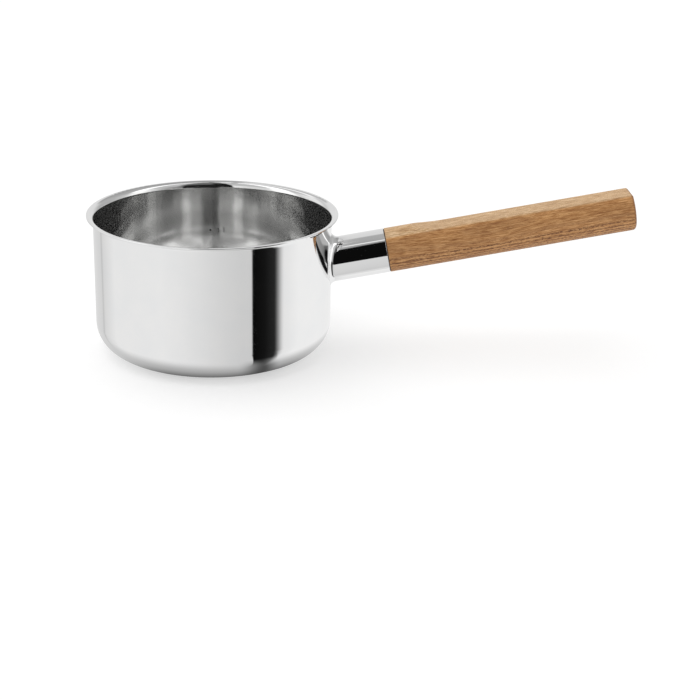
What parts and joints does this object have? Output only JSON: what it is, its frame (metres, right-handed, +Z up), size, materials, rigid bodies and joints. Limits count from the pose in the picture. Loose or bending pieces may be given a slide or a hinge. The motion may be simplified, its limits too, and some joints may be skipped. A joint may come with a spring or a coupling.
{
  "type": "milk pan",
  "caption": "Round three-layer steel milk pan with a pouring lip all round, a steel neck welded to its wall and a straight oak handle with a flat on top, for heating milk and sauces.",
  "frame": {"origin": "centre of the flat underside of the base, on the axis of the pan", "axes": "+Z up along the axis of the pan, +X from that axis towards the end of the handle, +Y completing a right-handed frame"},
  "size_m": [0.371, 0.1688, 0.1105],
  "materials": {
    "polished_steel": "stainless steel, mirror polished",
    "satin_steel": "stainless steel, fine satin turned all round",
    "core_aluminium": "mill finish, sealed between the skins",
    "plain_steel": "plain stainless steel",
    "seal_rubber": "dark silicone rubber",
    "oak": "oiled oak, straight grain along the handle"
  },
  "bodies": {
    "root": {"outer_skin": "polished_steel", "aluminium_core": "core_aluminium", "inner_skin": "satin_steel", "neck": "polished_steel", "neck_plate": "plain_steel", "plate_nut": "plain_steel", "seal_ring": "seal_rubber", "grip": "oak", "locating_pin": "plain_steel", "tie_screw": "plain_steel", "washer": "plain_steel", "spring_washer": "plain_steel", "end_plug": "oak"}
  },
  "joints": []
}
